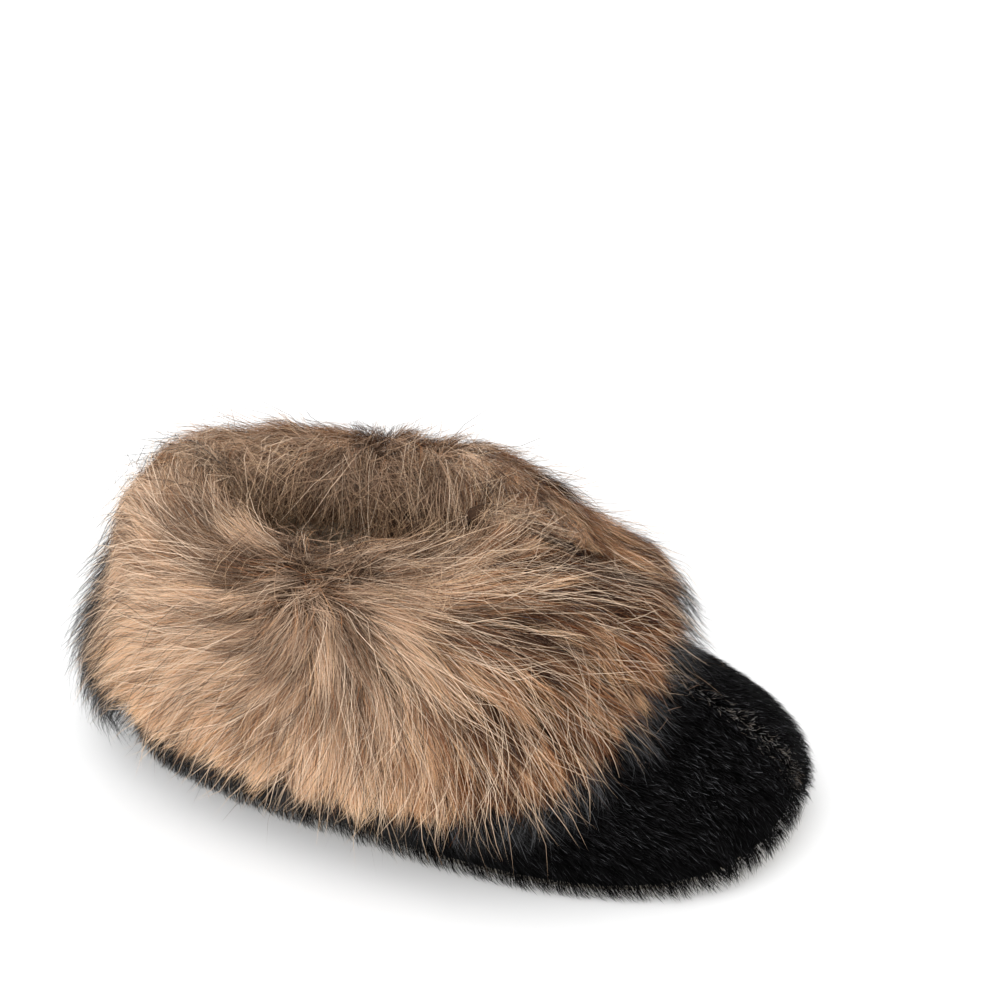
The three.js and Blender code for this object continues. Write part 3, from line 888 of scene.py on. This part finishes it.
def make_guides(rng):
    """Strand guides drawn together into locks."""
    def thicker(turns, shares):
        return 0.45 + 0.55 * np.exp(-(np.hypot(*from_whorl(turns, shares)) / 17) ** 2)

    def spread(count):
        return FUR.spread(rng, count, level(0.1), lambda turn: hem_share(turn) - HEM_MARGIN, thicker)

    turns, shares = spread(LOCKS)
    lock_paths = grow(turns, shares, hair_length(turns, shares) * rng.uniform(0.95, 1.15, LOCKS),
                      unruly(rng, turns, shares, 0.13), rng.uniform(0, 7, LOCKS), GUIDE_STEPS,
                      limit=hem_share(turns) + rng.normal(0.01, 0.04, LOCKS))
    lock_tones = rng.normal(0, 1, LOCKS)
    turns, shares = spread(STRANDS)
    paths = grow(turns, shares, hair_length(turns, shares) * rng.uniform(0.8, 1.12, STRANDS),
                 unruly(rng, turns, shares, 0.05), rng.uniform(-1, 5, STRANDS), GUIDE_STEPS,
                 limit=hem_share(turns) + rng.normal(0, 0.03, STRANDS))
    apart = (lock_paths[:, 0] ** 2).sum(-1) - 2 * paths[:, 0] @ lock_paths[:, 0].T
    nearest = apart.argmin(1)
    along = along_hair(GUIDE_STEPS + 1)
    pull = 0.74 * along ** 1.1 * rng.uniform(0.45, 1, STRANDS)[:, None, None]
    paths = paths * (1 - pull) + lock_paths[nearest] * pull
    aside = paths[:, GUIDE_MIDDLE] - lock_paths[nearest, GUIDE_MIDDLE]
    bulge = aside / (np.linalg.norm(aside, axis=-1, keepdims=True) + 3)
    lit = unit(FUR.outward(turns, shares) + 0.6 * bulge)
    tones = region_tone(rng, turns, shares) + (0.11 + 0.13 * at_front(turns)) * rng.normal(0, 1, STRANDS)
    tones = tones + (0.17 + 0.28 * at_front(turns)) * lock_tones[nearest]
    return Guides(turns, shares, paths, tones, lit)


# Points of a hair, its spread round the guide in millimetres, its share of the guide, and its wave
Coat = namedtuple("Coat", "points spread reach wave")
UNDERFUR_COAT = Coat(3, 2.9, 0.58, 1.0)
TOP_HAIR_COAT = Coat(LONG_POINTS, 2.4, 1.0, 1.1)


def hairs_from(rng, guides, chance, coat, starts):
    """Hairs round guides picked by chance: they start apart and draw together towards the tip."""
    count = len(starts)
    pick = rng.choice(len(guides.paths), count, p=chance / chance.sum())
    ends = np.minimum(starts + coat.reach * rng.uniform(0.75, 1.05, count), 1)
    shares = starts[:, None] + np.linspace(0, 1, coat.points) * (ends - starts)[:, None]
    hair = resample(guides.paths[pick], shares)
    outward = FUR.outward(guides.turns[pick], guides.shares[pick])
    front = at_front(guides.turns[pick])
    offset = rng.normal(0, coat.spread, (count, 3)) * (1 - 0.4 * front)[:, None]
    offset -= outward * (dot(offset, outward) * 0.5)
    along = along_hair(coat.points)
    hair = hair + offset[:, None] * (1 - 0.7 * along ** 0.9)
    stray = np.where(rng.random((count, 1, 1)) < STRAY_SHARE, 3.5, 1)
    bend = rng.normal(0, coat.wave, (count, 1, 3)) * stray * along ** 1.7
    curl = rng.normal(0, coat.wave * 0.3, (count, 1, 3)) * np.sin(along * rng.uniform(4, 9, (count, 1, 1)))
    return hair + bend + curl, guides.lit[pick], guides.tones[pick], front


def cuff_fur():
    """Taupe and golden hair, each as soft underfur and longer hair over it."""
    rng = np.random.default_rng(SEEDS["cuff"])
    guides = make_guides(rng)
    golden = warmth(guides.turns, guides.shares)
    bundled = np.where(rng.random(STRANDS) < 0.35, 1, 1 - 0.85 * at_front(guides.turns))
    kinds = (("taupe", 1 - golden, TAUPE_UNDERFUR, TAUPE_HAIR),
             ("golden", golden, GOLDEN_UNDERFUR, GOLDEN_HAIR))
    for kind, chance, under, over in kinds:
        count = round(UNDERFUR_HAIRS * chance.mean())
        starts = rng.uniform(0, 0.4, count)
        hair, lit, tones, front = hairs_from(rng, guides, chance, UNDERFUR_COAT, starts)
        # The underfur is set darker than the top hair, most at the front: partly its own darker colour,
        # partly painted shade in the gaps between locks.
        tones = tones - 0.03 - 0.09 * front + rng.normal(0, 1, count) * (0.11 + 0.06 * front)
        strand_mesh(f"{kind}_underfur", hair, lit, rng.uniform(*COAT_WIDTHS, count), tones,
                    rng.normal(0, 0.7, count), under, starts=starts)
        count = round(TOP_HAIRS * chance.mean())
        starts = np.zeros(count)
        hair, lit, tones, front = hairs_from(rng, guides, chance * bundled, TOP_HAIR_COAT, starts)
        # Some top hairs, more of them at the front, are made much paler: partly pale hairs of the coat,
        # partly painted highlights on the strands.
        pale = np.where(rng.random(count) < 0.07 + 0.13 * front, 0.5, 0)
        tones = tones + 0.05 + rng.normal(0, 1, count) * (0.18 + 0.04 * front) + pale
        strand_mesh(f"{kind}_top_hair", hair, lit, rng.uniform(*COAT_WIDTHS, count), tones,
                    rng.normal(0, 0.7, count), over)


def stray_hairs():
    """Single long hairs, mostly pale, that lie loose over the rest and cross its flow."""
    rng = np.random.default_rng(SEEDS["stray"])
    count = STRAY_HAIRS

    def weight(turn, share):
        return smooth(np.hypot(*from_whorl(turn, share)), 14, 34)

    turns, shares = FUR.spread(rng, count, level(0.1), lambda turn: hem_share(turn) - 0.06, weight)
    length = hair_length(turns, shares) * rng.uniform(0.75, 1.25, count)
    loose = np.where(rng.random(count) < 0.5, 1, 0) * (1 - 0.5 * at_heel(turns))
    rise = rng.uniform(2, 7, count) + rng.uniform(5, 12, count) * loose
    path = grow(turns, shares, length, unruly(rng, turns, shares, 0.28), rise, LONG_POINTS - 1, depth=2,
                limit=hem_share(turns) + rng.normal(0.03, 0.03, count))
    path = path + rng.normal(0, 1.8, (count, 1, 3)) * along_hair(LONG_POINTS) ** 1.6
    tones = np.where(rng.random(count) < 0.22 + 0.08 * loose, 0.05, rng.normal(0.8, 0.15, count))
    width = rng.uniform(*STRAY_WIDTHS, count) * (1 + 0.5 * loose)
    strand_mesh("cuff_stray_hair", path, FUR.outward(turns, shares), width, tones,
                rng.normal(0, 0.5, count), TAUPE_HAIR, starts=0.25)


def guard_hairs():
    """Longer black-tipped hairs, thick along the hem, low on the heel and in a streak on the instep."""
    rng = np.random.default_rng(SEEDS["guard"])
    count = GUARD_HAIRS

    def weight(turn, share):
        hem = smooth(share, hem_share(turn) - 0.12, hem_share(turn) - 0.03)
        heel = at_heel(turn) * smooth(share, 0.4, 0.54)
        streak_turn = BLACK_STREAK.turn + BLACK_STREAK.slant * (share - BLACK_STREAK.share)
        streak = np.exp(-((turn - streak_turn) / BLACK_STREAK.half_width) ** 2)
        streak = streak * smooth(share, 0.36, 0.44)
        return np.clip(0.05 + 0.6 * hem + 0.6 * heel + 0.5 * streak, 0, 1)

    turns, shares = FUR.spread(rng, count, level(0.16), hem_share, weight)
    near_hem = smooth(shares, hem_share(turns) - 0.14, hem_share(turns) - 0.05)
    heel = at_heel(turns)
    fan = np.round(turns * HEM_FANS).astype(int) % HEM_FANS
    aside = np.mod(turns - fan / HEM_FANS + 0.5, 1) - 0.5
    turns = turns - 0.55 * aside * near_hem
    lean = unruly(rng, turns, shares, 0.16) + rng.normal(0, 0.3, HEM_FANS)[fan] * near_hem
    length = hair_length(turns, shares) * rng.uniform(0.8, 1.3, count) * (1 - 0.25 * near_hem * (1 - heel))
    rise = rng.uniform(2, 8, count) * (1 - 0.6 * near_hem + 0.8 * heel) + 5 * near_hem * over_instep(turns)
    path = grow(turns, shares, length, lean, rise, LONG_POINTS - 1, depth=6)
    path = path + rng.normal(0, 2.2, (count, 1, 3)) * along_hair(LONG_POINTS) ** 1.6
    black_from = np.maximum(0.7 * near_hem, 0.5 * heel)
    width = rng.uniform(*GUARD_WIDTHS, count) * (1 + 0.5 * heel)
    # Up to a fifth of the hairs, at the front, take the pale tone: their grey tips are painted highlights.
    tones = np.where(rng.random(count) < 0.2 * at_front(turns), 0.8, 0.08) + rng.normal(0, 0.05, count)
    tones = tones + rng.normal(0, 0.08, HEM_FANS)[fan]
    strand_mesh("cuff_guard_hair", path, FUR.outward(turns, shares), width, tones,
                rng.normal(0, 0.6, count), GUARD_HAIR, starts=black_from)


def lip_hairs(rng):
    """Hairs of the lip in leaning tufts, one of them golden, that reach into the collar."""
    count = LIP_HAIRS
    turns, shares = FUR.spread(rng, count, level(0), level(0.27),
                               lambda turn, share: 0.6 + 0.4 * over_instep(turn))
    tuft = np.floor(turns * LIP_TUFTS).astype(int) % LIP_TUFTS
    lean = rng.normal(0, 0.45, count) + rng.normal(0, 0.85, LIP_TUFTS)[tuft]
    path = grow(turns, shares, rng.uniform(*LIP_LENGTHS, count), lean, rng.uniform(1, 11, count),
                LONG_POINTS - 1, depth=4)
    golden = np.exp(-((turns - GOLDEN_TUFT.turn) / GOLDEN_TUFT.round) ** 2
                    - ((shares - GOLDEN_TUFT.share) / GOLDEN_TUFT.down) ** 2)
    tones = rng.normal(*LIP_TONES, count) + rng.normal(0, 0.3, LIP_TUFTS)[tuft]
    # Lip hairs are darker where they root further inside the collar: painted shade. The golden tuft is the
    # hair's own colour.
    tones = tones + 0.3 * smooth(shares, 0.1, 0.25) + 0.7 * golden
    return path, FUR.outward(turns, shares), tones


def wall_hairs(rng):
    """Hairs that stand off the inner face of the hide below the lip, and sag."""
    count = WALL_HAIRS
    turns, shares = HIDE.spread(rng, count, level(0), level(0.42))
    inward = -HIDE.outward(turns, shares)
    start = HIDE.place(turns, shares) + inward * (WALL + WALL_ROOT)
    aim = unit(inward * rng.uniform(0.3, 0.8, (count, 1)) + rng.normal(0, 0.7, (count, 3)) + (0, 0, 0.45))
    length = rng.uniform(*WALL_LENGTHS, count)[:, None, None]
    along = along_hair(LONG_POINTS)
    sag = np.array((0, 0, WALL_SAG)) * length * along ** 2
    return start[:, None] + aim[:, None] * length * along - sag, inward


def hanging_hairs(rng):
    """Hairs that hang from the underside of the lip."""
    count = HANGING_HAIRS
    turns, shares = FUR.spread(rng, count, level(0), level(0.13))
    outward = FUR.outward(turns, shares)
    aim = outward * rng.uniform(0.3, 0.9, (count, 1)) + rng.normal(0, 0.4, (count, 3)) - (0, 0, 0.4)
    start = FUR.place(turns, shares) - outward * ROOT_DEPTH
    length = rng.uniform(*HANGING_LENGTHS, count)[:, None, None]
    return start[:, None] + unit(aim)[:, None] * length * along_hair(LONG_POINTS), outward


def inner_fur():
    """Shaggy hairs of the lip and the inside of the collar, crossing over the opening."""
    rng = np.random.default_rng(SEEDS["inner"])
    lip, lip_outward, lip_tones = lip_hairs(rng)
    wall, wall_outward = wall_hairs(rng)
    hanging, hanging_outward = hanging_hairs(rng)
    path = np.concatenate([lip, wall, hanging])
    count = len(path)
    along = along_hair(LONG_POINTS)
    swirl = np.sin(along * rng.uniform(2, 7, (count, 1, 1)))
    path = path + rng.normal(0, 3.0, (count, 1, 3)) * along ** 1.5
    path = path + rng.normal(0, 2.3, (count, 1, 3)) * swirl
    outward = np.concatenate([lip_outward, wall_outward, hanging_outward])
    wall_tones = rng.normal(*WALL_TONES, len(wall))
    hanging_tones = rng.normal(*HANGING_TONES, len(hanging))
    tones = np.concatenate([lip_tones, wall_tones, hanging_tones])
    strand_mesh("collar_inner_fur", path, outward, rng.uniform(*INNER_WIDTHS, count), tones,
                rng.normal(0, 0.7, count), INNER_HAIR)


def undercoat():
    """Dense dark base under the hairs, in the place of the fur solid."""
    turns = GRID_TURNS[:, None]
    hem = closed_curve(FUR_SIZES, GRID_TURNS)[:, :1]
    steps = np.linspace(0, 1, UNDERCOAT_STEPS)[None]
    shares = steps * (hem_share(GRID_TURNS) - HEM_MARGIN)[:, None]
    inset = UNDERCOAT_INSET * np.sin(math.pi * np.clip(steps, 0.03, 0.97)) ** 0.35
    turns_grid = np.broadcast_to(turns, shares.shape)
    front = FUR.place(turns_grid, shares) - FUR.outward(turns_grid, shares) * inset[..., None]
    covered = hem + (1 - hem) * np.linspace(0, 1, BACKING_STEPS)[None]
    back = over_hide(turns, covered, np.full(covered.shape, BACKING_GAP))
    rim = over_hide(turns, np.ones_like(turns), np.full(turns.shape, -WALL)) + (0, 0, 1)
    points = np.concatenate([front, back, rim], 1)
    piece = grid_mesh("cuff_undercoat", points, UNDERCOAT, close_columns=True)
    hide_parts("fur_cuff")


# Black hide, lining and sole

# Numbers of hairs, and the points of a short one
HEM_HAIRS = 6000
NAP_HAIRS = 48000
SEAM_HAIRS = 420
TAN_HAIRS = 40
WOOL_CURLS = 3200
SHORT_POINTS = 3
# Shortest and longest hairs in millimetres
HEM_LENGTHS = (7, 12)
NAP_LENGTHS = (3.4, 6.6)
SEAM_LENGTHS = (1.2, 2.8)
# Thinnest and thickest hairs in millimetres
HEM_WIDTHS = (0.28, 0.45)
NAP_WIDTHS = (0.15, 0.26)
SEAM_WIDTHS = (0.07, 0.13)
CURL_WIDTHS = (0.35, 0.6)
# Least and most radius and rise of a curl in millimetres
CURL_RADII = (1.2, 2.6)
CURL_RISES = (1.5, 4)
# Depth of the nap's roots, thickness of the lining and start of its curls in millimetres
NAP_ROOT = 0.4
LINING_THICKNESS = 1.4
CURL_START = 1.0
# Steps down the lining, and the angle of a curl in radians
LINING_STEPS = 40
CURL_ANGLE = 4.2


def hem_hairs():
    """Black hairs that hang from the underside of the hem down on to the hide."""
    rng = np.random.default_rng(SEEDS["hem"])
    count = HEM_HAIRS
    turns = rng.random(count)
    hem = closed_curve(FUR_SIZES, turns)[:, 0]
    depth = rng.uniform(0.05, 0.9, (count, 1))
    fur_end = hem_share(turns) - HEM_MARGIN
    top = FUR.place(turns, fur_end) - FUR.outward(turns, fur_end) * ROOT_DEPTH
    bottom = over_hide(turns, hem, np.full(count, BACKING_GAP))
    outward = HIDE.outward(turns, 1 - hem)
    hide_down = unit(HIDE.look(HIDE.down, turns, 1 - hem))
    flow = unit(bottom - top) * (1 - depth) + hide_down * (0.3 + depth)
    flow = unit(flow + outward * rng.uniform(0.1, 0.4, (count, 1)) + rng.normal(0, 0.14, (count, 3)))
    length = rng.uniform(*HEM_LENGTHS, count)[:, None, None]
    start = top * (1 - depth) + bottom * depth
    path = start[:, None] + flow[:, None] * length * along_hair(SHORT_POINTS)
    path[:, 1] += outward * 0.8
    strand_mesh("hem_black_hair", path, outward, rng.uniform(*HEM_WIDTHS, count), rng.beta(1, 12, count),
                rng.normal(0, 0.6, count), NAP, taper=0.5)


def hide_nap():
    """Short black hairs of the hide below the fur, lying down and forward, parted at the centre seam."""
    rng = np.random.default_rng(SEEDS["nap"])
    count = NAP_HAIRS
    hem_at = closed_curve(FUR_SIZES, GRID_TURNS)[:, 0]

    def top(turn):
        return 1 - np.interp(np.mod(turn, 1), GRID_TURNS, hem_at, period=1) - 0.06

    turns, shares = HIDE.spread(rng, count, top, level(0.995))
    start = HIDE.place(turns, shares)
    outward = HIDE.outward(turns, shares)
    around = unit(HIDE.look(HIDE.round, turns, shares))
    down = unit(HIDE.look(HIDE.down, turns, shares))
    aside = np.mod(turns - SEAM_TURN + 0.5, 1) - 0.5
    from_seam = np.sign(aside) * (1 - smooth(np.abs(aside), 0, 0.03))
    forward = -np.sign(aside) * smooth(np.abs(aside), 0.05, 0.15) * (1 - smooth(np.abs(aside), 0.3, 0.45))
    drift = waves(rng, turns, shares, ((7, 2), (13, 4), (23, 7)))
    lean = 0.75 * forward + 0.5 * from_seam + 0.3 * drift + rng.normal(0, 0.22, count)
    flow = down * np.cos(lean)[:, None] + around * np.sin(lean)[:, None]
    low = smooth(shares, 0.6, 0.95)
    toe = 1 - smooth(np.abs(aside), 0.08, 0.16)
    length = (rng.uniform(*NAP_LENGTHS, count) * (1 + 0.45 * low))[:, None]
    lift = (rng.uniform(0.18, 0.46, count) + 0.28 * low + 0.16 * toe)[:, None]
    middle = start + flow * length * 0.5 + outward * length * lift * 0.62
    tip = start + flow * length + outward * length * lift * 0.85 + rng.normal(0, 0.45, (count, 3))
    path = np.stack([start - outward * NAP_ROOT, middle, tip], 1)
    # A few nap hairs take grey to pale tones: painted glints.
    tones = np.where(rng.random(count) < 0.07, rng.uniform(0.3, 1, count), rng.beta(1, 14, count))
    # Painted shade: the nap, painted glints too, is darkened towards the sole, low on the shoe.
    tones = tones * (1 - 0.6 * smooth(shares, 0.7, 0.95))
    strand_mesh("hide_nap", path, outward, rng.uniform(*NAP_WIDTHS, count), tones,
                rng.normal(0, 0.6, count), NAP, taper=0.5)


def seam_hairs():
    """Pale hairs along the centre seam of the toe, with a tan tuft at its lower end."""
    rng = np.random.default_rng(SEEDS["seam"])
    count = SEAM_HAIRS
    turns = np.mod(rng.normal(SEAM_TURN, 0.006, count), 1)
    shares = 0.4 + 0.52 * rng.random(count)
    shares[:TAN_HAIRS] = rng.normal(0.88, 0.02, TAN_HAIRS)
    outward = HIDE.outward(turns, shares)
    down = unit(HIDE.look(HIDE.down, turns, shares))
    flow = unit(down + outward * rng.uniform(0.1, 0.6, (count, 1)) + rng.normal(0, 0.55, (count, 3)))
    length = rng.uniform(*SEAM_LENGTHS, count)[:, None, None]
    start = HIDE.place(turns, shares) + outward * rng.uniform(1.0, 3.0, (count, 1))
    path = start[:, None] + flow[:, None] * length * along_hair(SHORT_POINTS)
    tones = rng.uniform(0.3, 1, count)
    tones[:TAN_HAIRS] = 0.05
    strand_mesh("seam_hairs", path, outward, rng.uniform(*SEAM_WIDTHS, count), tones,
                rng.normal(0, 0.6, count), SEAM_HAIR)


def lining():
    """Wool lining inside the upper, from the footbed to the rim."""
    turns = GRID_TURNS[:, None]
    shares = np.linspace(0.07, 0.985, LINING_STEPS)[None]
    turns_grid, shares_grid = np.broadcast_arrays(turns, shares)
    rng = np.random.default_rng(SEEDS["lining"])
    swell = 0.5 * waves(rng, turns_grid, shares_grid, ((23, 9), (41, 15), (57, 22)))
    points = over_hide(turns_grid, shares_grid, -(WALL + LINING_THICKNESS + swell))
    grid_mesh("wool_lining", points, FLEECE)
    wool_curls(rng)


def wool_curls(rng):
    """Short loose curls all over the lining."""
    count = WOOL_CURLS
    turns, shares = HIDE.spread(rng, count, level(0.02), level(0.93))
    inward = -HIDE.outward(turns, shares)
    start = HIDE.place(turns, shares) + inward * (WALL + CURL_START)
    sideways = unit(np.cross(inward, rng.normal(0, 1, (count, 3))))
    other = np.cross(inward, sideways)
    angle = CURL_ANGLE * along_hair(LONG_POINTS)
    radius = rng.uniform(*CURL_RADII, count)[:, None, None]
    rise = rng.uniform(*CURL_RISES, count)[:, None, None]
    circle = sideways[:, None] * np.cos(angle) + other[:, None] * np.sin(angle)
    path = start[:, None] + radius * circle + inward[:, None] * along_hair(LONG_POINTS) * rise
    strand_mesh("wool_curls", path, inward, rng.uniform(*CURL_WIDTHS, count), rng.random(count),
                rng.normal(0, 0.7, count), WOOL)


def dress_solids():
    for node, material in (("upper", HIDE_SKIN), ("outsole", SUEDE), ("insole", FLEECE)):
        solid = bpy.data.objects[node]
        solid.data.materials.clear()
        solid.data.materials.append(material)


# Floor, light and camera

def stage_floor():
    mesh = bpy.data.meshes.new("floor")
    corners = [(FLOOR_HALF * x, FLOOR_HALF * y, 0) for x, y in ((-1, -1), (1, -1), (1, 1), (-1, 1))]
    mesh.from_pydata(corners, [], [(0, 1, 2, 3)])
    paint = mottled_material("pale_floor", (250, 250, 250), (253, 253, 253), blotch=3, fibre=30, bump=0.0)
    glow = paint.node_tree.nodes["Principled BSDF"].inputs
    glow["Emission Color"].default_value = WHITE
    glow["Emission Strength"].default_value = FLOOR_GLOW
    mesh.materials.append(paint)
    floor = bpy.data.objects.new("floor", mesh)
    bpy.context.collection.objects.link(floor)


def studio_light():
    world = bpy.data.worlds.new("studio")
    world.use_nodes = True
    sky = world.node_tree.nodes["Background"].inputs
    sky["Color"].default_value = WHITE
    sky["Strength"].default_value = SKY_STRENGTH
    bpy.context.scene.world = world
    lamp = bpy.data.lights.new("key", "SUN")
    lamp.energy = KEY_STRENGTH
    lamp.angle = math.radians(KEY_WIDTH)
    key = bpy.data.objects.new("key", lamp)
    key.rotation_mode = "QUATERNION"
    key.rotation_quaternion = Vector(KEY_FROM).to_track_quat("Z", "Y")
    bpy.context.collection.objects.link(key)
    bpy.context.scene.view_settings.view_transform = "Standard"


def photo_camera():
    azimuth, elevation = math.radians(VIEW_AZIMUTH), math.radians(VIEW_ELEVATION)
    back = Vector((math.sin(azimuth) * math.cos(elevation), -math.cos(azimuth) * math.cos(elevation),
                   math.sin(elevation)))
    right = Vector((math.cos(azimuth), math.sin(azimuth), 0))
    up = back.cross(right)
    place = Vector(ORIGIN) + back * VIEW_DISTANCE + right * VIEW_RIGHT + up * VIEW_UP
    lens = bpy.data.cameras.new("photo_camera")
    lens.sensor_width = SENSOR_WIDTH
    lens.lens = VIEW_FOCAL / PICTURE_SIZE * SENSOR_WIDTH
    camera = bpy.data.objects.new("photo_camera", lens)
    turned = Matrix((right, up, back)).transposed().to_4x4()
    camera.matrix_world = Matrix.Translation(place * MM) @ turned
    bpy.context.collection.objects.link(camera)
    bpy.context.scene.camera = camera


photo_camera()
studio_light()
stage_floor()
dress_solids()
undercoat()
cuff_fur()
stray_hairs()
guard_hairs()
inner_fur()
hem_hairs()
hide_nap()
seam_hairs()
lining()

bpy.context.view_layer.update()
